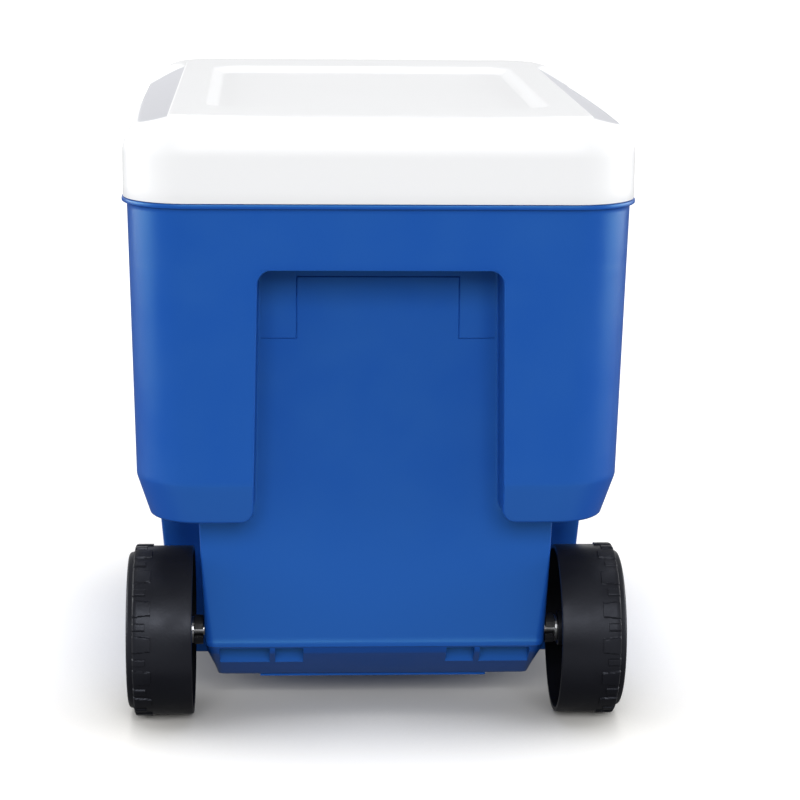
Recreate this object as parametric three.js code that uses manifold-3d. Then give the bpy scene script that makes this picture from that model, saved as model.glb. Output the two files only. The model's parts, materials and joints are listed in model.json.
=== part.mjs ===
// A wheeled picnic cooler: insulated box with a hinged lid, two wheels on a steel axle and a telescoping tow handle.
// Millimetres, +Z up, floor at z = 0. The wheels are at the -Y end, the tow handle at the +Y end.
import * as THREE from 'three';
import { LoftGeometry } from 'three/addons/geometries/LoftGeometry.js';
import { mergeVertices } from 'three/addons/utils/BufferGeometryUtils.js';
import Module from 'manifold-3d';

const wasm = await Module();
wasm.setup();

// ---------------------------------------------------------------- driving dimensions

const GAP = 0.3; // between pieces that touch
const WALL = 3; // moulded skin
const ROUND = 20; // sides of a tube or an axle
const SMALL_ROUND = 8; // sides of a screw or a pin
const LINER_WALL = 2.5;

const RIM_Z = 391; // where the lid meets the body
const LID = { halfX: 181.4, halfY: 252, corner: 46.5, top: 450, edgeX: 33.4, edgeY: 23, edgeZ: 27 };
const PANEL = { halfX: 148, near: -230, far: 224, height: 1, bow: 9 };
const TRAY = { halfX: 120.5, near: -176, far: 154, depth: 4.5, slope: 9, corner: 22 };
const SCOOP = { near: -222, nearSlope: 0.28, far: 194, farSlope: 0.6 };
const SCOOP_END = [[0, 134], [8, 170], [20, 188], [30, 194], [80, 200]]; // out from the panel, along the lid

const LIP = { halfX: 182.1, halfY: 252.7, corner: 47, height: 3 };
const SKIRT = { topX: 178.7, topY: 248.7, waistZ: 188, waistX: 174.1, waistY: 244, corner: 43 };
const SKIRT_FOOT = { z: 158, halfX: 164.4, halfY: 233.5, corner: 36 };
const TUB = { top: 161, bottom: 151, farTop: 231, farBottom: 224, z: 22.5, corner: 30 };
const KEEL = { halfX: 84, z: 20 };
const NOSE = { top: 130, bottom: 125, near: -200, chinZ: 54.5, heelY: -167, heelZ: 23 };
const RECESS = { topX: 86.4, bottomX: 89.6, topZ: 344, corner: 10.5 };
const WELL = { far: -112 };
const POCKETS = [[53, 74], [78, 115]];
const POCKET = { low: 44.5, high: 52.5, depth: 9 };

const MOUTH = { topX: 153, bottomX: 140, nearTop: -178, nearBottom: -171, farTop: 214, farBottom: 201 };
const MOUTH_FLOOR = 54;
const MOUTH_STEP = { halfX: 108, far: -92, z: 180 };

const PLUG = { halfX: 148, near: -172, far: 208, low: 381, corner: 30 }; // under the lid, into the mouth
const LID_PLATE_Z = RIM_Z + 2 * GAP;

const WHEEL = { radius: 63.5, inner: 134, outer: 177, y: -184, disc: 56.5, face: 181.8, hub: 13 };
const AXLE_R = 4;
const AXLE_END = 181.3;
const AXLE_AT = [WHEEL.y, WHEEL.radius];
const AXLE_BOSS_R = 8; // the sleeve that carries the axle through the body
const AXLE_RIB = { halfX: 60, halfZ: 4 };
const CLIP = { inner: 127.2, outer: 133.7, radius: 11, slot: 3.4 };
const WASHER = { inner: 134.1, outer: 136.1, radius: 10 };
const CAP = { radius: 9.3, shoulder: 4.5, crownZ: 183.6, crown: 7.5, flat: 4, top: 184.2 };
const FOOT = { x: 118, y: 178, halfX: 30, halfY: 26, bevel: 2, peg: 6, pegLength: 7 };

const HINGE = { x: 183.2, z: 391, y: 140, half: 30, middle: 12, radius: 3.5, pin: 1.6, pinHead: 2.7 };
const HINGE_YS = [-HINGE.y, HINGE.y];
const HINGE_NOTCH = { x: 178.2, below: 5, above: 4.4 };
const LEAVES = {
  body: { back: 179, face: 181.3, low: 349, high: 386, screwZ: 366 },
  lid: { back: 181.7, face: 183.9, low: 395.2, high: 425, screwZ: 410 },
};
const WEB = 9; // how far a leaf's web reaches past the pin
const HINGE_SCREW_Y = 19;
const SCREW = { shank: 1.6, head: 3.4, headHeight: 1.5 };
const SCREW_LENGTH = { hinge: 14, bracket: 20, grip: 15 };

const TUBE = { x: 62, y: 268, outer: 10, wall: 1.3, bottom: 32, top: 385.5 };
const TRAVEL = 300; // tow handle
const INNER = { radius: 8.4, wall: 1.2, bottom: 40, top: 399.7 };
const BRACKET = { halfX: 100, plate: 4, tower: 14, outerY: 282 };
const UPPER_BRACKET = { back: 249.2, low: 338, high: 387.5 };
const LOWER_BRACKET = { back: 226.9, low: 22, high: 62 };
const GRIP = { halfX: 84, halfY: 13.5, low: 388, high: 420, split: 414, round: 9 };
const CHANNEL = { halfX: 69, halfY: 6, low: 400 };
const BAR = { low: 405, high: 410 };
const BUTTON = { halfX: 14.5, halfY: 5.2, top: 422, flange: 2.2 };
const SPRING = { low: 394, turns: 3.5, radius: 3.2, wire: 0.6, pocket: 4.6 };
const LOCK = { z: 52, radius: 2.5 }; // the pins near the foot of the inner tubes
const BRACKET_SCREW_XS = [-90, -34, 34, 90];
const GRIP_SCREW_X = 76;

const HANDLE_REACH = BRACKET.outerY - LIP.halfY; // the handle stands out this far past the rim

// ---------------------------------------------------------------- solids

function solidOf(geometry) {
  const bare = new THREE.BufferGeometry();
  bare.setAttribute('position', geometry.getAttribute('position'));
  bare.setIndex(geometry.index);
  const merged = mergeVertices(bare, 1e-4);
  const vertProperties = merged.getAttribute('position').array;
  const triVerts = new Uint32Array(merged.index.array);
  return new wasm.Manifold(new wasm.Mesh({ numProp: 3, vertProperties, triVerts }));
}

function geometryOf(solid) {
  const { vertProperties, triVerts } = solid.getMesh();
  const geometry = new THREE.BufferGeometry();
  geometry.setAttribute('position', new THREE.Float32BufferAttribute(vertProperties, 3));
  geometry.setIndex(Array.from(triVerts));
  const flat = geometry.toNonIndexed();
  flat.computeVertexNormals();
  return flat;
}

const X = new THREE.Vector3(1, 0, 0);
const Y = new THREE.Vector3(0, 1, 0);
const Z = new THREE.Vector3(0, 0, 1);
const ALONG = {
  x: new THREE.Matrix4().makeBasis(Y, Z, X),
  y: new THREE.Matrix4().makeBasis(Z, X, Y),
  z: new THREE.Matrix4(),
};

function box([x0, y0, z0], [x1, y1, z1]) {
  const geometry = new THREE.BoxGeometry(x1 - x0, y1 - y0, z1 - z0);
  return solidOf(geometry.translate((x0 + x1) / 2, (y0 + y1) / 2, (z0 + z1) / 2));
}

// A closed outline pushed along an axis. Its own axes are Y, Z along x; Z, X along y; X, Y along z.
function prism(shape, axis, start, end, curveSegments = 6) {
  const options = { depth: end - start, bevelEnabled: false, curveSegments };
  const geometry = new THREE.ExtrudeGeometry(shape, options).translate(0, 0, start);
  return solidOf(geometry.applyMatrix4(ALONG[axis]));
}

function rod(axis, radius, start, end, [u, v], sides = ROUND) {
  const geometry = new THREE.CylinderGeometry(radius, radius, end - start, sides);
  geometry.rotateX(Math.PI / 2).translate(u, v, (start + end) / 2);
  return solidOf(geometry.applyMatrix4(ALONG[axis]));
}

function tube(axis, outer, inner, start, end, at, sides = ROUND) {
  return rod(axis, outer, start, end, at, sides).subtract(rod(axis, inner, start - 1, end + 1, at, sides));
}

function outline(points) {
  return new THREE.Shape(points.map(([u, v]) => new THREE.Vector2(u, v)));
}

function roundedRect(u0, u1, v0, v1, r, rFar = r) {
  const shape = new THREE.Shape();
  shape.absarc(u1 - rFar, v1 - rFar, rFar, 0, Math.PI / 2);
  shape.absarc(u0 + rFar, v1 - rFar, rFar, Math.PI / 2, Math.PI);
  shape.absarc(u0 + r, v0 + r, r, Math.PI, 1.5 * Math.PI);
  shape.absarc(u1 - r, v0 + r, r, 1.5 * Math.PI, 2 * Math.PI);
  return shape;
}

// Rounded rectangles stacked along z: each section is [z, halfX, near, far, corner, far corner].
function loft(sections, arc = 3) {
  const rings = sections.map(([z, halfX, near, far, r, rFar = r]) =>
    roundedRect(-halfX, halfX, near, far, r, rFar)
      .getPoints(arc)
      .map((p) => new THREE.Vector3(p.x, p.y, z)),
  );
  return solidOf(new LoftGeometry(rings, { capStart: true, capEnd: true }));
}

function join(...solids) {
  return solids.reduce((all, one) => all.add(one));
}

function cut(solid, ...tools) {
  return tools.reduce((left, tool) => left.subtract(tool), solid);
}

function bothSides(build) {
  return join(build(1), build(-1));
}

// ---------------------------------------------------------------- body

function skirtForm(t, top) {
  const { topX, topY, waistZ, waistX, waistY, corner } = SKIRT;
  const foot = SKIRT_FOOT;
  return loft([
    [foot.z + t, foot.halfX - t, -foot.halfY + t, foot.halfY - t, foot.corner - t],
    [waistZ, waistX - t, -waistY + t, waistY - t, corner - t],
    [top, topX - t, -topY + t, topY - t, corner - t],
  ]);
}

// The hand recess at the wheel end: an inverted U whose sides spread a little towards the bottom.
function recessForm(t) {
  const { topX, bottomX, topZ, corner } = RECESS;
  const shape = new THREE.Shape();
  const arcX = topX - corner;
  const arcZ = topZ - corner;
  shape.moveTo(-100, -bottomX - t);
  shape.lineTo(arcZ, -topX - t);
  shape.absarc(arcZ, -arcX, corner + t, -Math.PI / 2, 0);
  shape.absarc(arcZ, arcX, corner + t, 0, Math.PI / 2);
  shape.lineTo(-100, bottomX + t);
  return prism(shape, 'y', -300, NOSE.near + t);
}

function tubForm(t) {
  const { top, bottom, farTop, farBottom, z, corner } = TUB;
  const joinZ = SKIRT_FOOT.z + 8 - t;
  const main = loft([
    [z + t, bottom - t, WELL.far + t, farBottom - t, 4, corner - t],
    [joinZ, top - t, WELL.far + t, farTop - t, 4, corner - t],
  ]);
  const nose = loft([
    [z + t, NOSE.bottom - t, NOSE.near + t, 0, 3],
    [joinZ, NOSE.top - t, NOSE.near + t, 0, 3],
  ]);
  const keel = box([-KEEL.halfX + t, NOSE.near + t, KEEL.z + t], [KEEL.halfX - t, farBottom - corner, z + 12]);
  return join(main, nose, keel);
}

// Everything under the slope that runs from the chin of the nose back to the floor of the tub.
function chinForm(t) {
  const run = NOSE.heelY - NOSE.near;
  const rise = NOSE.chinZ - NOSE.heelZ;
  const length = Math.hypot(run, rise);
  const shift = (y, z) => [y + (rise / length) * t, z + (run / length) * t];
  const far = shift(NOSE.near + 2 * run, NOSE.chinZ - 2 * rise);
  const near = shift(NOSE.near - run, NOSE.chinZ + rise);
  return prism(outline([[near[0], -60], far, near]), 'x', -200, 200);
}

function pocketForms(t) {
  const far = NOSE.near + POCKET.depth + t;
  const pockets = POCKETS.map(([low, high]) =>
    bothSides((side) => {
      const ends = [side * low - side * t, side * high + side * t].sort((a, b) => a - b);
      return box([ends[0], NOSE.near - 30, POCKET.low - t], [ends[1], far, POCKET.high + t]);
    }),
  );
  return join(...pockets);
}

function bodyForm(t, top = RIM_Z) {
  const upper = cut(skirtForm(t, top), recessForm(t));
  const lower = cut(tubForm(t), chinForm(t), pocketForms(t));
  return join(upper, lower);
}

function rimLip() {
  const { halfX, halfY, corner, height } = LIP;
  return loft([
    [RIM_Z - height, halfX, -halfY, halfY, corner],
    [RIM_Z, halfX, -halfY, halfY, corner],
  ]);
}

// Room for one hinge barrel in the rim of the body or of the lid.
function hingeNotch(y) {
  const reach = HINGE.half + 2;
  const { x, below, above } = HINGE_NOTCH;
  return box([x, y - reach, HINGE.z - below], [x + 10, y + reach, HINGE.z + above]);
}

// Clearance holes for every screw that goes through a wall.
function leafScrewHoles(y, z) {
  return join(
    ...[-1, 1].map((s) => rod('x', SCREW.shank + GAP, 160, 190, [y + s * HINGE_SCREW_Y, z], SMALL_ROUND)),
  );
}

function hingeScrewHoles(leaf) {
  return join(...HINGE_YS.map((y) => leafScrewHoles(y, leaf.screwZ)));
}

function bracketScrewHoles({ back, low, high }) {
  const z = (low + high) / 2;
  return join(
    ...BRACKET_SCREW_XS.map((x) => rod('y', SCREW.shank + GAP, back - 22, back + 8, [z, x], SMALL_ROUND)),
  );
}

function footPegHoles() {
  return bothSides((side) => rod('z', FOOT.peg + GAP, 10, 31, [side * FOOT.x, FOOT.y], 16));
}

// The rib behind the nose that holds the axle's sleeve, grown by t.
function axleRib(t) {
  const { halfX, halfZ } = AXLE_RIB;
  const [y, z] = AXLE_AT;
  const near = NOSE.near + (t > 0 ? -10 : 1);
  return box([-halfX - t, near, z - halfZ - t], [halfX + t, y, z + halfZ + t]);
}

function bodyShell() {
  const bossEnd = NOSE.bottom - 1;
  const boss = rod('x', AXLE_BOSS_R, -bossEnd, bossEnd, AXLE_AT, 20);
  const outside = cut(join(bodyForm(0), rimLip()), ...HINGE_YS.map(hingeNotch));
  const hollow = join(cut(outside, bodyForm(WALL, RIM_Z + 5)), boss, axleRib(0));
  return cut(
    hollow,
    rod('x', AXLE_R + GAP, -170, 170, AXLE_AT),
    hingeScrewHoles(LEAVES.body),
    bracketScrewHoles(UPPER_BRACKET),
    bracketScrewHoles(LOWER_BRACKET),
    footPegHoles(),
  );
}

// The cavity that holds the food, grown by t, with a step over each wheel.
function cavityForm(t, top) {
  const { topX, bottomX, nearTop, nearBottom, farTop, farBottom } = MOUTH;
  const whole = loft([
    [MOUTH_FLOOR - t, bottomX - 6 + t, nearBottom + 6 - t, farBottom - 6 + t, 24 + t],
    [MOUTH_FLOOR + 8, bottomX + t, nearBottom - t, farBottom + t, 28 + t],
    [top, topX + t, nearTop - t, farTop + t, 32 + t],
  ]);
  const step = (side) => {
    const ends = [side * (MOUTH_STEP.halfX + t), side * 200].sort((a, b) => a - b);
    return box([ends[0], -260, 0], [ends[1], MOUTH_STEP.far - t, MOUTH_STEP.z - t]);
  };
  return cut(whole, bothSides(step));
}

function innerLiner() {
  const edge = SKIRT.topX - WALL - GAP;
  const edgeY = SKIRT.topY - WALL - GAP;
  const flange = loft([
    [RIM_Z - LINER_WALL, edge, -edgeY, edgeY, SKIRT.corner - WALL],
    [RIM_Z, edge, -edgeY, edgeY, SKIRT.corner - WALL],
  ]);
  return cut(join(cavityForm(LINER_WALL, RIM_Z), flange), cavityForm(0, RIM_Z + 5));
}

function bodyFoam() {
  const t = WALL + GAP;
  const top = box([-300, -300, RIM_Z - LINER_WALL - GAP], [300, 300, RIM_Z + 40]);
  return cut(
    bodyForm(t, RIM_Z + 2),
    top,
    cavityForm(LINER_WALL + GAP, RIM_Z + 5),
    rod('x', AXLE_BOSS_R + GAP, -170, 170, AXLE_AT),
    axleRib(GAP),
    hingeScrewHoles(LEAVES.body),
    bracketScrewHoles(UPPER_BRACKET),
    bracketScrewHoles(LOWER_BRACKET),
    footPegHoles(),
  );
}

function foot(side) {
  const { x, y, halfX, halfY, bevel, peg, pegLength } = FOOT;
  const top = TUB.z - GAP;
  const shape = roundedRect(-halfX + bevel, halfX - bevel, -halfY + bevel, halfY - bevel, 8);
  const edge = { bevelThickness: bevel, bevelSize: bevel, bevelSegments: 1, curveSegments: 3 };
  const pad = new THREE.ExtrudeGeometry(shape, { depth: top - 2 * bevel, ...edge });
  const stem = rod('z', peg, top - 1, top + pegLength, [side * x, y], 16);
  return join(solidOf(pad.translate(side * x, y, bevel)), stem);
}

// ---------------------------------------------------------------- lid

function lidBlock(t) {
  const { halfX, halfY, corner, top, edgeX, edgeY, edgeZ } = LID;
  const section = (z, x, y) => [z, halfX - x, -halfY + y, halfY - y, corner - 0.8 * y];
  const bend = [0, 1, 2, 3, 4, 5].map((i) => {
    const angle = (i / 5) * (Math.PI / 2);
    const inward = 1 - Math.cos(angle);
    return section(top - edgeZ + edgeZ * Math.sin(angle) - t, edgeX * inward + t, edgeY * inward + t);
  });
  return loft([section(RIM_Z + GAP - (t > 0 ? 5 : 0), t, t), ...bend]);
}

// A scoop falls from the top panel to each long side, steeper towards its rounded far end; t grows it.
function scoopForm(t) {
  const { near, nearSlope, far, farSlope } = SCOOP;
  const reach = 80;
  const x = PANEL.halfX - t * 0.4;
  const z = LID.top - t;
  const section = (side, y, slope) => {
    const corners = [[x, z], [x + reach, z - reach * slope], [x + reach, z + 40], [x, z + 40]];
    return corners.map(([u, w]) => new THREE.Vector3(side * u, y, w));
  };
  const wedge = (side) => {
    const rings = [section(side, near - t, nearSlope), section(side, far + t + 10, farSlope)];
    const slope = solidOf(new LoftGeometry(side > 0 ? rings.reverse() : rings, { capStart: true, capEnd: true }));
    const end = SCOOP_END.map(([out, y]) => [side * (x + out), y + t]);
    const plan = [...end, [side * (x + reach), near - t - 5], [side * x, near - t - 5]];
    return slope.intersect(prism(outline(side > 0 ? plan.reverse() : plan), 'z', 380, 500));
  };
  return bothSides(wedge);
}

// The shallow tray in the top, whose walls slope in to a flat floor.
function trayForm(t) {
  const { halfX, near, far, depth, slope, corner } = TRAY;
  const floor = LID.top - depth;
  const grade = slope / depth;
  const out = (1 + LID.top + PANEL.height - floor) * grade - slope;
  return loft([
    [floor - t, halfX - slope + t, near + slope - t, far - slope + t, corner - slope + t],
    [floor + 10, halfX - slope + 10 * grade + t, near + slope - 10 * grade - t,
      far - slope + 10 * grade + t, corner + out + t],
  ]);
}

// The raised panel, whose near edge bows towards the wheel end.
function topPanel() {
  const { halfX, near, far, height, bow } = PANEL;
  const shape = new THREE.Shape();
  shape.moveTo(halfX, far);
  shape.lineTo(-halfX, far);
  shape.lineTo(-halfX, near);
  shape.quadraticCurveTo(0, near - 2 * bow, halfX, near);
  return prism(shape, 'z', LID.top - 4, LID.top + height, 10).intersect(lidBlock(-height));
}

function lidShell() {
  const outside = cut(join(cut(lidBlock(0), scoopForm(0)), topPanel()), trayForm(0));
  const inside = cut(lidBlock(WALL), scoopForm(WALL), trayForm(WALL));
  const notches = HINGE_YS.map(hingeNotch);
  return cut(outside, inside, ...notches, hingeScrewHoles(LEAVES.lid));
}

function plugForm(t, top) {
  const { halfX, near, far, low, corner } = PLUG;
  return loft([
    [low + t, halfX - 4 - t, near + 4 + t, far - 4 - t, corner - 4 - t],
    [top, halfX - t, near + t, far - t, corner - t],
  ]);
}

function lidLiner() {
  const inset = WALL + GAP;
  const { halfX, halfY, corner } = LID;
  const edge = [halfX - inset, -halfY + inset, halfY - inset, corner - inset];
  const plate = loft([[LID_PLATE_Z, ...edge], [LID_PLATE_Z + LINER_WALL, ...edge]]);
  const dish = join(plate, plugForm(0, LID_PLATE_Z + 1));
  return cut(dish, plugForm(LINER_WALL, LID_PLATE_Z + 6));
}

function lidFoam() {
  const t = WALL + GAP;
  const floor = LID_PLATE_Z + LINER_WALL + GAP;
  const below = box([-300, -300, 300], [300, 300, floor]);
  const block = cut(lidBlock(t), scoopForm(t), trayForm(t), below);
  const fill = join(block, plugForm(LINER_WALL + GAP, floor + 2));
  return cut(fill, hingeScrewHoles(LEAVES.lid));
}

// ---------------------------------------------------------------- hinges

function knuckles(ranges, y) {
  return join(...ranges.map(([a, b]) => rod('y', HINGE.radius, y + a, y + b, [HINGE.z, HINGE.x], 16)));
}

function leafPlate(y, { back, face, low, high }) {
  return prism(roundedRect(y - HINGE.half, y + HINGE.half, low, high, 5), 'x', back, face, 4);
}

function pinBore(y) {
  const { half, z, x, pin } = HINGE;
  return rod('y', pin + GAP, y - half - 1, y + half + 1, [z, x], SMALL_ROUND);
}

function hingeBodyLeaf(y) {
  const { half, middle, x, z } = HINGE;
  const { body } = LEAVES;
  const ranges = [[-half, -middle - GAP], [middle + GAP, half]];
  const webs = ranges.map(([a, b]) => box([body.back, y + a, z - WEB], [x, y + b, z]));
  const leaf = join(leafPlate(y, body), knuckles(ranges, y), ...webs);
  return cut(leaf, pinBore(y), leafScrewHoles(y, body.screwZ));
}

function hingeLidLeaf(y) {
  const { middle, z } = HINGE;
  const { lid } = LEAVES;
  const web = box([lid.back, y - middle, z], [lid.face, y + middle, z + WEB]);
  const leaf = join(leafPlate(y, lid), knuckles([[-middle, middle]], y), web);
  return cut(leaf, pinBore(y), leafScrewHoles(y, lid.screwZ));
}

function hingePin(y) {
  const { half, z, x, pin, pinHead } = HINGE;
  const head = rod('y', pinHead, y + half + GAP, y + half + 1.6, [z, x], SMALL_ROUND);
  return join(rod('y', pin, y - half - 1, y + half + 1, [z, x], SMALL_ROUND), head);
}

// A pan-head screw along its own +Z: the head's top is at 0 and the shank runs down to -length.
function screw(length) {
  const { head, headHeight, shank } = SCREW;
  const profile = [[0, -length], [shank, -length + 2], [shank, -headHeight], [head, -headHeight],
    [head, -0.8], [head * 0.7, 0], [0, 0]];
  const points = profile.map(([r, z]) => new THREE.Vector2(r, z));
  return geometryOf(solidOf(new THREE.LatheGeometry(points, SMALL_ROUND).rotateX(Math.PI / 2)));
}

// ---------------------------------------------------------------- wheels

function wheelSolid() {
  const { radius, inner, outer, disc, face, hub } = WHEEL;
  const bore = AXLE_R + 0.4;
  const profile = [
    [radius - 1.2, inner], [radius, inner + 1.2], [radius, outer - 2], [radius - 2, outer],
    [disc + 2, outer + 0.4], [disc, face], [hub + 6, face], [hub + 4, face + 1], [11, face + 1],
    [11, outer], [bore, outer], [bore, inner + 2.5], [hub, inner + 2.5], [hub, outer - 5],
    [radius - 5.5, outer - 5], [radius - 4.5, inner],
  ];
  const closed = [...profile, profile[0]].map(([r, x]) => new THREE.Vector2(r, x));
  const turned = solidOf(new THREE.LatheGeometry(closed, 32));
  const spokes = [0, 1, 2, 3].map((i) => {
    const bar = new THREE.BoxGeometry(2 * (radius - 5), outer - inner - 22, 3);
    return solidOf(bar.translate(0, inner + 18 + (outer - inner - 22) / 2, 0).rotateY((i * Math.PI) / 4));
  });
  const core = solidOf(new THREE.CylinderGeometry(hub - 1, hub - 1, 200, 24).translate(0, 150, 0));
  return join(turned, ...spokes.map((spoke) => spoke.subtract(core)));
}

// A lathe's own axis turned onto X, with the outer face on the side given.
function alongAxle(solid, side) {
  const geometry = geometryOf(solid).rotateZ(-Math.PI / 2);
  return side > 0 ? geometry : geometry.rotateY(Math.PI);
}

function lathe(profile, segments = 24) {
  return solidOf(new THREE.LatheGeometry(profile.map(([r, x]) => new THREE.Vector2(r, x)), segments));
}

function axleCap() {
  const { radius, shoulder, crown, crownZ, flat, top } = CAP;
  const bore = AXLE_R + GAP;
  const low = WHEEL.outer + 0.4;
  const end = AXLE_END + GAP;
  return lathe([
    [bore, low], [radius, low], [radius, WHEEL.outer + shoulder], [crown, crownZ], [flat, top], [0, top],
    [0, end], [bore, end], [bore, low],
  ]);
}

function axleWasher() {
  const bore = AXLE_R + GAP;
  const { inner, outer, radius } = WASHER;
  return lathe([[bore, inner], [radius, inner], [radius, outer], [bore, outer], [bore, inner]]);
}

// A black clip whose open side faces the wheel end.
function axleClip(side) {
  const [y, z] = AXLE_AT;
  const { inner, outer, radius, slot } = CLIP;
  const ends = [side * inner, side * outer].sort((a, b) => a - b);
  const ring = tube('x', radius, AXLE_R + GAP, ends[0], ends[1], AXLE_AT, 28);
  return cut(ring, box([ends[0] - 1, y - 20, z - slot], [ends[1] + 1, y, z + slot]));
}

// ---------------------------------------------------------------- tow handle

function bracket({ back, low, high }) {
  const { halfX, plate, tower, outerY } = BRACKET;
  const z = (low + high) / 2;
  const wall = prism(roundedRect(low + 2, high - 2, -halfX, halfX, 8), 'y', back, back + plate, 4);
  const towers = bothSides((side) => {
    const x = side * TUBE.x;
    return prism(roundedRect(x - tower, x + tower, back + 1, outerY, 1, 11), 'z', low, high, 5);
  });
  const bores = bothSides((side) =>
    rod('z', TUBE.outer + GAP, TUBE.bottom - GAP, 500, [side * TUBE.x, TUBE.y]),
  );
  const screws = BRACKET_SCREW_XS.map((x) =>
    rod('y', SCREW.shank + GAP, back - 2, back + 60, [z, x], SMALL_ROUND),
  );
  return cut(join(wall, towers), bores, ...screws);
}

// A hole for a lock pin, from inside the tube out through its outer wall.
function lockHole(side, inward, z) {
  const x = side * TUBE.x;
  const ends = [x - side * inward, x + side * 20].sort((a, b) => a - b);
  return rod('x', LOCK.radius + GAP, ...ends, [TUBE.y, z], SMALL_ROUND);
}

function outerTube(side) {
  const { outer, wall, bottom, top } = TUBE;
  const at = [side * TUBE.x, TUBE.y];
  const body = tube('z', outer, outer - wall, bottom, top, at);
  return cut(body, lockHole(side, 0, LOCK.z + TRAVEL));
}

function innerTube(side) {
  const { radius, wall, bottom, top } = INNER;
  const body = tube('z', radius, radius - wall, bottom, top, [side * TUBE.x, TUBE.y]);
  return cut(body, lockHole(side, 0, LOCK.z));
}

function tubePlug(side) {
  const at = [side * TUBE.x, TUBE.y];
  const inside = INNER.radius - INNER.wall - GAP;
  const flange = rod('z', INNER.radius - 0.1, INNER.bottom - 4, INNER.bottom - GAP, at);
  const stem = rod('z', inside, INNER.bottom - 1, INNER.bottom + 24, at);
  return cut(join(flange, stem), lockHole(side, 5, LOCK.z));
}

function lockPin(side) {
  const x = side * TUBE.x;
  const ends = [x - side * 4, x + side * (INNER.radius - 0.1)].sort((a, b) => a - b);
  return rod('x', LOCK.radius, ...ends, [TUBE.y, LOCK.z], SMALL_ROUND);
}

function gripForm() {
  const { halfX, halfY, low, high, round } = GRIP;
  const shape = roundedRect(TUBE.y - halfY, TUBE.y + halfY, low, high, round);
  const ends = prism(roundedRect(-halfX, halfX, TUBE.y - halfY, TUBE.y + halfY, halfY - 1), 'z', low, high);
  return prism(shape, 'x', -halfX, halfX).intersect(ends);
}

function channelForm(extra) {
  const { halfX, halfY, low } = CHANNEL;
  const y = TUBE.y;
  return box([-halfX - extra, y - halfY - extra, low], [halfX + extra, y + halfY + extra, GRIP.split + 1]);
}

function gripScrewHoles(radius, low, high) {
  return bothSides((side) => rod('z', radius, low, high, [side * GRIP_SCREW_X, TUBE.y], SMALL_ROUND));
}

function gripBody() {
  const upper = box([-100, 200, GRIP.split - GAP / 2], [100, 300, 500]);
  const sockets = bothSides((side) =>
    rod('z', INNER.radius + GAP, 380, CHANNEL.low + 1, [side * TUBE.x, TUBE.y]),
  );
  const springPocket = rod('z', SPRING.pocket, SPRING.low - GAP, CHANNEL.low + 1, [0, TUBE.y]);
  const screws = gripScrewHoles(SCREW.shank + GAP, 402, 500);
  return cut(gripForm(), upper, channelForm(0), sockets, springPocket, screws);
}

function gripCover() {
  const lower = box([-100, 200, 300], [100, 300, GRIP.split + GAP / 2]);
  const { halfX, halfY } = BUTTON;
  const y = TUBE.y;
  const window = prism(
    roundedRect(-halfX - GAP, halfX + GAP, y - halfY - GAP, y + halfY + GAP, 4), 'z', 400, 440, 4,
  );
  const heads = gripScrewHoles(SCREW.head + GAP, GRIP.high - 3, 440);
  return cut(gripForm(), lower, window, heads, gripScrewHoles(SCREW.shank + GAP, 400, 440));
}

function pushButton() {
  const { halfX, halfY, top } = BUTTON;
  const y = TUBE.y;
  const bevel = { bevelThickness: 1, bevelSize: 1, bevelSegments: 2, curveSegments: 4 };
  const cap = new THREE.ExtrudeGeometry(
    roundedRect(-halfX + 1, halfX - 1, y - halfY + 1, y + halfY - 1, 3),
    { depth: top - BAR.high - GAP - 2, ...bevel },
  ).translate(0, 0, BAR.high + GAP + 1);
  const low = BAR.high + GAP;
  const rim = roundedRect(-halfX - 3, halfX + 3, y - halfY - GAP, y + halfY + GAP, 3);
  return join(solidOf(cap), prism(rim, 'z', low, low + BUTTON.flange, 4));
}

// The bar under the button and the two rods that run down to the lock pins.
function releaseBar() {
  const y = TUBE.y;
  const bar = prism(roundedRect(-CHANNEL.halfX + 2, CHANNEL.halfX - 2, y - 4.5, y + 4.5, 3), 'z', BAR.low,
    BAR.high, 4);
  const rods = bothSides((side) => rod('z', LOCK.radius, LOCK.z + 18, BAR.low + 1, [side * TUBE.x, y], SMALL_ROUND));
  return join(bar, rods);
}

class Helix extends THREE.Curve {
  getPoint(t) {
    const { low, turns, radius, wire } = SPRING;
    const angle = 2 * Math.PI * turns * t;
    const height = BAR.low - GAP - low - 2 * wire;
    const z = low + wire + height * t;
    return new THREE.Vector3(radius * Math.cos(angle), TUBE.y + radius * Math.sin(angle), z);
  }
}

function buttonSpring() {
  const section = new THREE.Shape().absarc(0, 0, SPRING.wire, 0, 2 * Math.PI);
  const options = { steps: 40, extrudePath: new Helix(), curveSegments: 3 };
  return solidOf(new THREE.ExtrudeGeometry(section, options));
}

// ---------------------------------------------------------------- assembly

const COLOURS = {
  blue: { color: 0x1f57ad, roughness: 0.42 },
  white: { color: 0xf1f2f4, roughness: 0.38 },
  liner: { color: 0xe9ebed, roughness: 0.45 },
  foam: { color: 0xf3ead2, roughness: 0.95 },
  black: { color: 0x191a1f, roughness: 0.5 },
  steel: { color: 0x9da1a6, roughness: 0.3, metalness: 0.9 },
  alloy: { color: 0xb6babf, roughness: 0.35, metalness: 0.85 },
  button: { color: 0x55595f, roughness: 0.45 },
};

const root = new THREE.Group();
const cooler = new THREE.Group();
cooler.position.y = -HANDLE_REACH / 2; // the origin is under the middle of the whole object
root.add(cooler);

function place(name, finish, geometry, parent = cooler) {
  const mesh = new THREE.Mesh(geometry, new THREE.MeshStandardMaterial(COLOURS[finish]));
  mesh.name = name;
  parent.add(mesh);
  return mesh;
}

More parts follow.
